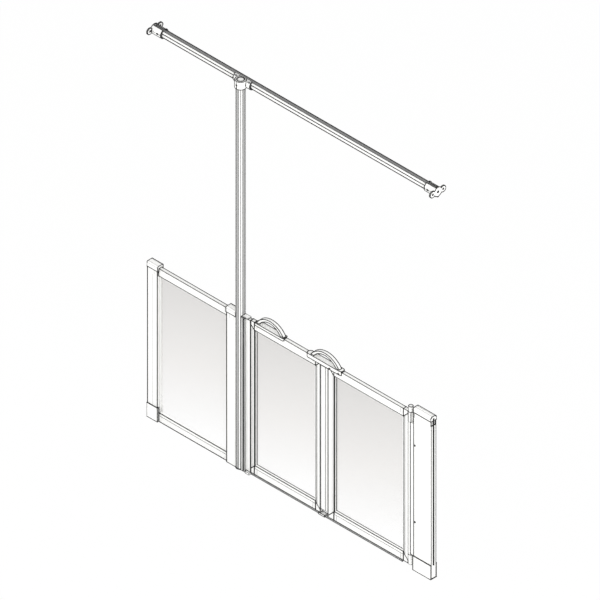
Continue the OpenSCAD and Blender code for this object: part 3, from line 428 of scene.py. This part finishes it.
# %% [markdown]
# ## Glazing gaskets
# Each pane sits between two white rubber gaskets, one on either face, that run all
# round it in the frame's groove. Seen in section, the part that shows is a soft
# slope: thick against the frame and thin where it lies on the glass. The section is
# carried round the rectangle, and the corners are mitred.

# %% Carry the gasket's section round each pane
def gasket(name, opening, pane_y, reach=0.010, shows=(0.0102, 0.006)):
    """Point (corner k, section j) = corner k moved inwards by s_j, and out of the pane by h_j.
    The section starts 1.4 mm thick in the groove. From the opening on, with o = s / show,
    h = 1.3 mm * (1 - o ** 3) + 0.9 mm * sin(pi * o) + 0.1 mm. The rear gasket shows less."""
    x0, z0, x1, z1 = opening
    right = np.array([0, 1, 1, 0])[:, None]
    top = np.array([0, 0, 1, 1])[:, None]
    sides = []
    for face_y, way, show in zip(pane_y, (-1, 1), shows):
        s = np.concatenate([[-reach, 0.0], np.linspace(0.0003, show, 12)])
        h = 0.0014 * np.ones_like(s)
        out = np.clip(s / show, 0, 1)
        h[1:] = 0.0013 * (1 - out[1:] ** 3) + 0.0009 * np.sin(np.pi * out[1:]) + 0.0001
        s = np.concatenate([s, s[::-1]])
        h = np.concatenate([h, np.zeros(len(h))])
        x = np.where(right, x1 - s, x0 + s)
        z = np.where(top, z1 - s, z0 + s)
        points = np.stack([x, face_y + way * h + 0 * x, z], axis=-1).reshape(-1, 3)
        faces = wrap(4, len(s), True)
        sides.append((points, faces if way < 0 else faces[:, ::-1]))
    points = np.concatenate([sides[0][0], sides[1][0]])
    faces = np.concatenate([sides[0][1], sides[1][1] + len(sides[0][0])])
    return new_piece(name + "_beads", points, faces, white_tpe, body_of(name), name)


def opening_of(pane, reach=0.010):
    """The frame's clear opening in X and Z, which lies inside the pane's hidden margin."""
    low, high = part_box(pane)
    return low.x + reach, low.z + reach, high.x - reach, high.z - reach


for leaf in ("fixed", "leaf_a", "leaf_b"):
    low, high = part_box(leaf + "_glass")
    beads_made = gasket(leaf + "_gasket", opening_of(leaf + "_glass"), (low.y, high.y))
    print(beads_made.name, len(beads_made.data.polygons), "faces")

# %% [markdown]
# ## Glazing wedges
# Along the left side of each door pane a black rubber wedge is pressed in at the
# stile. It is a strip with rounded corners, carried straight up. Three millimetres of
# it lie outside the frame's opening, and its front stands 0.3 mm before the top rail's.

# %% Black wedges beside the panes
wedge_under, wedge_shown, wedge_proud, pane_gap = 0.0030, 0.0035, 0.0003, 0.0002


def upright_strip(name, x0, x1, y0, y1, z0, z1, finish, body):
    """Section: a rounded rectangle of 16 points, |x| ** 4 + |y| ** 4 = 1 scaled to the strip's
    width and depth, carried from z0 to z1."""
    t = np.linspace(0, 2 * np.pi, 16, endpoint=False)
    x = (x0 + x1) / 2 + (x1 - x0) / 2 * np.sign(np.cos(t)) * np.abs(np.cos(t)) ** 0.5
    y = (y0 + y1) / 2 + (y1 - y0) / 2 * np.sign(np.sin(t)) * np.abs(np.sin(t)) ** 0.5
    rows = np.stack([np.stack([x, y, np.full(16, z)], axis=-1) for z in (z0, z1)])
    faces = [*wrap(2, 16, False), np.arange(16)[::-1], np.arange(16) + 16]
    return new_piece(name, rows.reshape(-1, 3), faces, finish, body)


for leaf in ("leaf_a", "leaf_b"):
    x0, z0, x1, z1 = opening_of(leaf + "_glass")
    low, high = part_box(leaf + "_top_rail")
    pane_low, pane_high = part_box(leaf + "_glass")
    wedge = upright_strip(leaf + "_glazing_wedge", x0 - wedge_under, x0 + wedge_shown,
                          low.y - wedge_proud, pane_low.y - pane_gap, z0, z1, black_epdm,
                          body_of(leaf + "_glass"))
    print(wedge.name, "from Z", round(z0, 3), "to", round(z1, 3))

# %% [markdown]
# ## Floor seals
# A soft PVC strip under each leaf keeps the water in. In section it is a carrier with
# two curved fins that reach down to the tray.

# %% Carry the seal's section along each leaf
def floor_seal(name):
    """Section points (y, z) of one half, mirrored about the seal's middle, carried along X."""
    low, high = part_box(name)
    middle, half, top = (low.y + high.y) / 2, (high.y - low.y) / 2, high.z
    fin = np.array([[1.0, 0.0], [1.0, -3.0], [0.98, -5.0], [0.90, -7.4], [0.78, -9.4],
                    [0.66, -10.5], [0.60, -10.2], [0.70, -9.0], [0.78, -7.2], [0.84, -5.0],
                    [0.85, -3.0]])
    fin[:, 0] *= half
    fin[:, 1] *= 0.001
    other = fin[::-1] * [-1, 1]
    section = np.concatenate([fin, other])
    count = len(section)
    ends = [np.column_stack([np.full(count, x), middle + section[:, 0], top + section[:, 1]])
            for x in (low.x, high.x)]
    faces = [*wrap(2, count, False)[:, ::-1], np.arange(count), np.arange(count)[::-1] + count]
    return new_piece(name + "_fins", np.concatenate(ends), faces, grey_pvc, body_of(name), name)


for leaf in ("leaf_a", "leaf_b"):
    seal = floor_seal(leaf + "_floor_seal")
    print(seal.name, len(seal.data.polygons), "faces")

# %% [markdown]
# ## Turned screws and the pole's plug
# Screw heads and the plug in the pole's top are round, so each is a profile turned
# about its axis. The heads are pan heads with a socket, and the plug is slightly
# domed.

# %% Turn a profile about an axis
def turned(profile, centre, axis, count=32):
    """Point (j, k) = centre + along_j * axis + radius_j * (u cos t_k + v sin t_k)."""
    axis = np.array(axis, dtype=float)
    u = np.cross(axis, [0, 0, 1] if abs(axis[2]) < 0.9 else [1, 0, 0])
    u /= np.linalg.norm(u)
    v = np.cross(axis, u)
    t = np.linspace(0, 2 * np.pi, count, endpoint=False)
    ring = np.cos(t)[:, None] * u + np.sin(t)[:, None] * v
    along, radius = np.array(profile).T
    points = np.array(centre) + along[:, None, None] * axis + radius[:, None, None] * ring
    last = (len(profile) - 1) * count
    faces = [*wrap(len(profile), count, False), np.arange(count)[::-1], np.arange(count) + last]
    return points.reshape(-1, 3), faces


def turned_set(name, profile, places, axis, finish):
    """Several turned pieces as one object that replaces a CAD node."""
    points, faces = [], []
    for place in places:
        more, sides = turned(profile, place, axis)
        faces += [np.array(face) + sum(map(len, points)) for face in sides]
        points.append(more)
    return new_piece(name + "_turned", np.concatenate(points), faces, finish, body_of(name), name)


head_r = 0.0035
pan_head = [(-0.010, 0.0018), (0.0, 0.0018), (0.0, head_r), (0.0008, head_r), (0.0017, 0.0029),
            (0.0021, 0.0018), (0.0021, 0.0014), (0.0009, 0.0012)]
post_low, post_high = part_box("right_post_screws")
screw_x = (post_low.x + post_high.x) / 2
face_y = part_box("right_post")[0].y
screws = turned_set("right_post_screws", pan_head,
                    [(screw_x, face_y, z) for z in (post_low.z + head_r, post_high.z - head_r)],
                    (0, -1, 0), turned_steel)
low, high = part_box("handle_b_screws")
saddle_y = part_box("handle_b")[0].y
more = turned_set("handle_b_screws", pan_head,
                  [(x, saddle_y, (low.z + high.z) / 2) for x in (low.x + head_r, high.x - head_r)],
                  (0, -1, 0), turned_steel)
low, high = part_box("pole_clamp_plug")
r = (high.x - low.x) / 2
dome = [(0.0, r), (0.0006, r), (0.0011, r * 0.96), (0.0014, r * 0.8), (0.0015, r * 0.1)]
plug = turned_set("pole_clamp_plug", dome, [((low.x + high.x) / 2, (low.y + high.y) / 2, low.z)],
                  (0, 0, 1), moulded_abs)
print("turned", screws.name, more.name, plug.name)

# %% [markdown]
# ## The drawn lines
# The photograph is a technical illustration, in which every edge and joint of the
# screen is a fine dark line. A material could paint them, but a painted line is cut
# in half where a face turns away. Here each sharp edge of the solids carries a thin
# black bead instead, so that it looks the same from every side. The beads of one
# body of the mechanism are one piece, which rides with it.

# %% Find the edges
slot_y = (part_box("fixed_gasket")[0].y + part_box("fixed_gasket")[1].y) / 2
slotted = {"left_post", "middle_post"} | {
    leaf + part for leaf in ("fixed", "leaf_a", "leaf_b")
    for part in ("_top_rail", "_bottom_rail", "_free_stile", "_fold_stile", "_wall_stile",
                 "_corner_blocks")}


def creases(name, sharp=0.5, flat=0.01, slot=0.0036, slope=0.36, strip=6, lift=0.0004):
    """Pairs of end points of a piece's outer edges: sharp ones, then where a flat meets a round
    or a frame's slope. Angles are in radians. Where neither face has strip times the other's
    area, both belong to a round. Left out are edges inside a glazing slot and edges from which
    a ray, started a lift away, meets the piece again, as they look into a hollow."""
    shape = bmesh.new()
    shape.from_mesh(nodes[name].data)
    bmesh.ops.remove_doubles(shape, verts=shape.verts, dist=1e-6)
    bmesh.ops.dissolve_limit(shape, angle_limit=flat, verts=shape.verts, edges=shape.edges)
    shape.normal_update()
    tree = BVHTree.FromBMesh(shape)
    found = ([], [])
    for edge in shape.edges:
        if len(edge.link_faces) != 2:
            continue
        if name in slotted and all(abs(v.co.y - slot_y) < slot for v in edge.verts):
            continue
        one, two = edge.link_faces
        turn = edge.calc_face_angle(0.0)
        small, large = sorted((one.calc_area(), two.calc_area()))
        sloped = name in slotted and abs(turn - slope) < 0.04
        on_a_round = turn < sharp and large < strip * small
        if turn < flat or (on_a_round and not sloped):
            continue
        out = (one.normal + two.normal).normalized()
        middle = (edge.verts[0].co + edge.verts[1].co) / 2
        if tree.ray_cast(middle + out * lift, out, 0.1)[0] is None:
            found[turn < sharp].append([v.co[:] for v in edge.verts])
    shape.free()
    return [np.array(pairs).reshape(-1, 2, 3) for pairs in found]


edges_of = {name: creases(name) for name in nodes}
print(sum(len(e[0]) for e in edges_of.values()), "sharp edges on", len(edges_of), "pieces")

# %% [markdown]
# A round piece has no edge where its outline lies. Four seams, a quarter turn apart,
# run along the pole and the rail between their grooves, and the clamp's collar and the
# sockets have theirs in the same places. The rail's top groove has its own edge.

# %% Seams along the tubes
def seams(centre, radius, span, along, degrees=(45, 135, 225, 315)):
    """Lines at those angles on a round of that radius; along is 0 for X or 2 for Z, and centre
    gives the other two coordinates."""
    t = np.radians(degrees)
    across = np.array(centre) + radius * np.stack([np.cos(t), np.sin(t)], axis=-1)
    ends = [np.insert(across, along, end, axis=1) for end in span]
    return np.stack(ends, axis=1)


proud = 0.0004
rail_seam_radius, groove_edge_radius, groove_edge_degrees = 0.0172, 0.0170, 152.9
collar_seam_radius, socket_seam_radius, bracket_plate = 0.0231, 0.0212, 0.005
rail_low, rail_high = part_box("curtain_rail")
rail_middle = ((rail_low.y + rail_high.y) / 2, (rail_low.z + rail_high.z) / 2)
rail_span = (rail_low.x, rail_high.x)
pole_seams = seams(pole_axis[:2], pole_radius + proud, (pole_low.z, pole_high.z), 2)
rail_seams = seams(rail_middle, rail_seam_radius, rail_span, 0)
groove_edge = seams(rail_middle, groove_edge_radius, rail_span, 0, (groove_edge_degrees,))
collar_seams = seams(pole_axis[:2], collar_seam_radius,
                     (rail_low.z - 0.001, rail_high.z + 0.003), 2)
left_socket, right_socket, clamp_socket = (
    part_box(name) for name in ("left_rail_bracket", "right_rail_bracket", "pole_clamp"))
socket_spans = ((left_socket[0].x + bracket_plate, left_socket[1].x),
                (right_socket[0].x, right_socket[1].x - bracket_plate),
                (clamp_socket[0].x, clamp_socket[1].x))
socket_seams = np.concatenate([seams(rail_middle, socket_seam_radius, span, 0)[[2, 3]]
                               for span in socket_spans])
print(len(pole_seams), "seams along the pole and", len(rail_seams), "along the rail")

# %% [markdown]
# The post caps carry one line along the round at their back, and the wall hinge's
# knuckle and cap carry upright ones. A heavy dark line runs up at the right wall, from
# the foot shoe to 12 mm below the top of the post's cap.

# %% Lines on the caps, the hinge and the wall channel
cap_round_mm = {"left_post_cap": 6, "middle_post_cap": 6, "right_post_cap": 10}
cap_lines = []
for cap, round_mm in cap_round_mm.items():
    low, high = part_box(cap)
    r = round_mm / 1000
    cap_lines.append(seams((high.y - r, high.z - r), r + proud, (low.x, high.x), 0, (45,)))
cap_lines = np.concatenate(cap_lines)

knuckle_radius, hinge_cap_radius = 0.0095, 0.0090
hinge_low, hinge_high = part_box("wall_hinge_cap")
hinge_axis = ((hinge_low.x + hinge_high.x) / 2, (hinge_low.y + hinge_high.y) / 2)
knuckle_span = (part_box("wall_hinge_barrel")[1].z + 0.001, hinge_low.z)
hinge_seams = np.concatenate([
    seams(hinge_axis, knuckle_radius, knuckle_span, 2, (45, 225, 315)),
    seams(hinge_axis, hinge_cap_radius, (hinge_low.z, hinge_high.z), 2, (45, 225))])

channel_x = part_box("right_wall_channel")[1].x
channel_span = (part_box("right_foot_shoe")[1].z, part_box("right_post_cap")[1].z - 0.012)
channel_line = np.array([[(channel_x, pole_axis[1], z) for z in channel_span]])
print(len(cap_lines), "lines on the caps and", len(hinge_seams), "on the wall hinge")

# %% [markdown]
# Each line is a thin square bar along its edge. The picture's upright lines are heavier
# than its sloping ones, so upright bars are made thicker. The mouth of a glazing slot
# has heavy bars of its own, and bars at a wall of the room are made thinner.

# %% Turn edges into beads
upright_share, wall_share = 1.3, 0.6
mouth_half, mouth_slack, mouth_bead = 0.0042, 0.0003, 0.0032
room_wall_x, above_floor = 0.7915, 0.0002


def beads(ends, radius):
    """Each edge from p to q is a bar with corners p or q + r * (u cos t + v sin t), t in quarter
    turns, where u and v lie across it. Each end runs on by half of r. A share of the radius
    goes to upright bars and to those at a wall, and a slot's mouth has its own."""
    p, q = ends[:, 0], ends[:, 1]
    along = (q - p) / np.linalg.norm(q - p, axis=1, keepdims=True)
    upright = np.abs(along[:, 2:]) > 0.99
    mouth = upright & (np.abs(np.abs(p[:, 1:2] - slot_y) - mouth_half) < mouth_slack)
    at_wall = upright & (np.abs(p[:, :1]) > room_wall_x)
    share = np.where(at_wall, wall_share, np.where(upright, upright_share, 1.0))
    radius = np.where(mouth, mouth_bead, share * radius)
    side = np.where(np.abs(along[:, 2:]) < 0.9, [[0.0, 0.0, 1.0]], [[1.0, 0.0, 0.0]])
    u = np.cross(side, along)
    u /= np.linalg.norm(u, axis=1, keepdims=True)
    v = np.cross(along, u)
    t = np.arange(4) * np.pi / 2
    ring = radius[:, None] * (u[:, None] * np.cos(t)[:, None] + v[:, None] * np.sin(t)[:, None])
    reach = (along * radius)[:, None] / 2
    corners = np.concatenate([p[:, None] - reach + ring, q[:, None] + reach + ring], axis=1)
    bar = np.array([[0, 1, 5, 4], [1, 2, 6, 5], [2, 3, 7, 6], [3, 0, 4, 7], [3, 2, 1, 0],
                    [4, 5, 6, 7]])
    faces = (np.arange(len(ends))[:, None, None] * 8 + bar).reshape(-1, 4)
    corners[..., 2] = np.maximum(corners[..., 2], above_floor)
    return corners.reshape(-1, 3), faces


points, faces = beads(pole_seams, 0.001)
print(len(pole_seams), "seams make", len(faces), "faces")

# %% [markdown]
# Not every edge is drawn. Pins, washers, gaskets and the glide strip have no lines. Also
# left out are edges where a piece meets its neighbour, the floor of the strike post's
# groove, and what lies behind the fixed pane. A line runs along the foot and the left
# side of each door pane, where the gasket ends.

# %% Choose what is drawn
undrawn = {"wall_hinge_pin", "fold_hinge_pin", "rail_glide_strip", "fixed_gasket",
           "leaf_a_gasket", "leaf_b_gasket", "wall_hinge_washers"}
plain_rounds = {"curtain_rail", "support_pole", "pole_foot", "handle_a", "handle_b",
                "left_post", "right_post"}


def shown(name, ends, margin=0.001):
    """A piece's sharp edges without those that the picture leaves out."""
    low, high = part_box(name)
    x, y, z = np.moveaxis(ends, 2, 0)
    groove = y.min(axis=1) - low.y
    behind_pane = y.min(axis=1) >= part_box("fixed_glass")[1].y
    dropped = {
        "pole_clamp": z.min(axis=1) >= high.z - margin,
        "wall_hinge_barrel": z.min(axis=1) >= high.z - margin,
        "middle_post": x.min(axis=1) >= high.x - margin,
        "strike_jamb": x.max(axis=1) <= low.x + margin,
        "strike_post": (groove >= 0.0005) & (groove <= 0.002),
        "left_post": behind_pane,
        "left_foot_shoe": behind_pane,
    }
    return ends[~dropped[name]] if name in dropped else ends


rim_inset, rim_overrun, rim_lift = 0.0202, 0.008, 0.0005
rims_of = {}
for pane in ("leaf_a_glass", "leaf_b_glass"):
    x0, z0, x1, z1 = opening_of(pane, rim_inset)
    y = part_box(pane)[0].y - rim_lift
    rims_of[pane] = np.array([[(x0, y, z0), (x1 + rim_overrun, y, z0)],
                              [(x0, y, z1 + rim_overrun), (x0, y, z0)]])
print("left undrawn:", ", ".join(sorted(undrawn)))

# %% [markdown]
# The bars' radii follow the weight of each line in the picture, in millimetres. Where
# many lines lie close together, as on the pole, the rail and the hinges, the bars are
# thinner so that the white stays between.

# %% Lay the beads
sharp_mm, soft_mm, soft_sill_mm, rim_mm = 2.1, 0.5, 1.0, 2.0
bead_mm = {"support_pole": 0.8, "curtain_rail": 1.0, "pole_clamp": 1.9, "pole_clamp_plug": 3.4,
           "left_rail_bracket": 2.2, "right_rail_bracket": 2.2, "right_post_cap": 2.6,
           "pole_clamp_screws": 0.9, "bracket_grub_screws": 0.9, "handle_b_screws": 0.9,
           "right_post_screws": 0.8, "leaf_a_floor_seal": 0.9, "leaf_b_floor_seal": 0.9,
           "strike_post": 1.8, "strike_post_cap": 1.2, "strike_foot": 1.4,
           "right_wall_channel": 1.2, "fold_hinge_a_half": 0.9, "fold_hinge_b_half": 1.0,
           "leaf_b_hinge_profile": 0.9, "leaf_b_wall_stile": 0.9, "wall_hinge_barrel": 1.8,
           "right_post": 1.7, "fixed_bottom_rail": 2.7, "leaf_a_bottom_rail": 2.5,
           "leaf_b_bottom_rail": 2.5, "handle_a": 2.2, "handle_b": 2.2}
fixed_lines_mm = [(pole_seams[[0, 2]], 0.8), (pole_seams[[1, 3]], 0.9), (rail_seams[[0]], 2.0),
                  (rail_seams[[2, 3]], 1.6), (groove_edge, 2.4), (collar_seams[[0, 2]], 2.6),
                  (socket_seams, 2.8), (channel_line, 8.0), (cap_lines, 3.2),
                  (hinge_seams, 1.8)]
for body in frame["bodies"]:
    to_draw = []
    for name in nodes:
        if name not in undrawn and body_of(name) == body:
            sharp, soft = edges_of[name]
            to_draw.append((shown(name, sharp), bead_mm.get(name, sharp_mm)))
            if name not in plain_rounds:
                to_draw.append((soft, soft_sill_mm if "bottom_rail" in name else soft_mm))
    if body == body_of("support_pole"):
        to_draw += fixed_lines_mm
    to_draw += [(rims, rim_mm) for pane, rims in rims_of.items() if body_of(pane) == body]
    parts = [beads(ends, radius_mm / 1000) for ends, radius_mm in to_draw]
    starts = np.cumsum([0] + [len(points) for points, faces in parts])
    lines = new_piece(body + "_drawn_lines", np.concatenate([p for p, f in parts]),
                      np.concatenate([f + at for (p, f), at in zip(parts, starts)]),
                      line_ink, body, smooth=False)
    print(lines.name, len(lines.data.polygons), "faces")

# %% [markdown]
# ## Studio
# The picture has a pure white ground. The floor is a pale sheet that keeps a faint
# shadow. Its material and the world show white to the camera, to reflections and
# through the glass, while the lamps stay at a level where colours render as written.

# %% Floor, world and lamps
def show_white(tree):
    """1 for camera, glossy and transmission rays, which see plain white, and 0 for the rest."""
    light_path = add(tree, "ShaderNodeLightPath")
    first = add(tree, "ShaderNodeMath", {"operation": "MAXIMUM"},
                _0=light_path.outputs["Is Camera Ray"], _1=light_path.outputs["Is Glossy Ray"])
    any_ray = add(tree, "ShaderNodeMath", {"operation": "MAXIMUM"},
                  _0=first.outputs[0], _1=light_path.outputs["Is Transmission Ray"])
    return any_ray.outputs[0]


floor_mesh = bpy.data.meshes.new("studio_floor")
half, floor_z = 6.0, -0.0005
floor_mesh.from_pydata([(x, y, floor_z) for x, y in
                        ((-half, -half), (half, -half), (half, half), (-half, half))],
                       [], [(0, 1, 2, 3)])
floor = bpy.data.objects.new("studio_floor", floor_mesh)
bpy.context.scene.collection.objects.link(floor)
floor_material, floor_tree = start("white_studio_floor")
floor_mesh.materials.append(floor_material)
paper = add(floor_tree, "ShaderNodeBsdfDiffuse", Color=linear("#FAFAFA"))
glow = add(floor_tree, "ShaderNodeEmission", Color=(1, 1, 1, 1), Strength=1.0)
seen = show_white(floor_tree)
share = add(floor_tree, "ShaderNodeMath", {"operation": "MULTIPLY"}, _0=seen, _1=0.97)
sheet = add(floor_tree, "ShaderNodeMixShader", _0=share.outputs[0], _1=paper.outputs[0],
            _2=glow.outputs[0])
add(floor_tree, "ShaderNodeOutputMaterial", Surface=sheet.outputs[0])

world = bpy.data.worlds.new("white_studio")
bpy.context.scene.world = world
world.use_nodes = True
world.node_tree.nodes.clear()
room = add(world.node_tree, "ShaderNodeBackground", Color=(1, 1, 1, 1), Strength=0.8)
white = add(world.node_tree, "ShaderNodeBackground", Color=(1, 1, 1, 1), Strength=1.0)
both = add(world.node_tree, "ShaderNodeMixShader", _0=show_white(world.node_tree),
           _1=room.outputs[0], _2=white.outputs[0])
add(world.node_tree, "ShaderNodeOutputWorld", Surface=both.outputs[0])


def soft_lamp(name, place, aim_at, size, watts):
    """A square area lamp that faces a point."""
    data = bpy.data.lights.new(name, "AREA")
    data.size = size
    data.energy = watts
    lamp = bpy.data.objects.new(name, data)
    bpy.context.scene.collection.objects.link(lamp)
    lamp.location = place
    lamp.rotation_mode = "QUATERNION"
    lamp.rotation_quaternion = (Vector(aim_at) - Vector(place)).to_track_quat("-Z", "Y")
    return lamp


soft_lamp("front_window", (-2.5, -5.0, 3.5), (0, 0, 0.8), 3.0, 90)
soft_lamp("side_fill", (4.5, -2.0, 2.5), (0, 0, 0.8), 2.5, 110)
bpy.context.scene.view_settings.view_transform = "Standard"
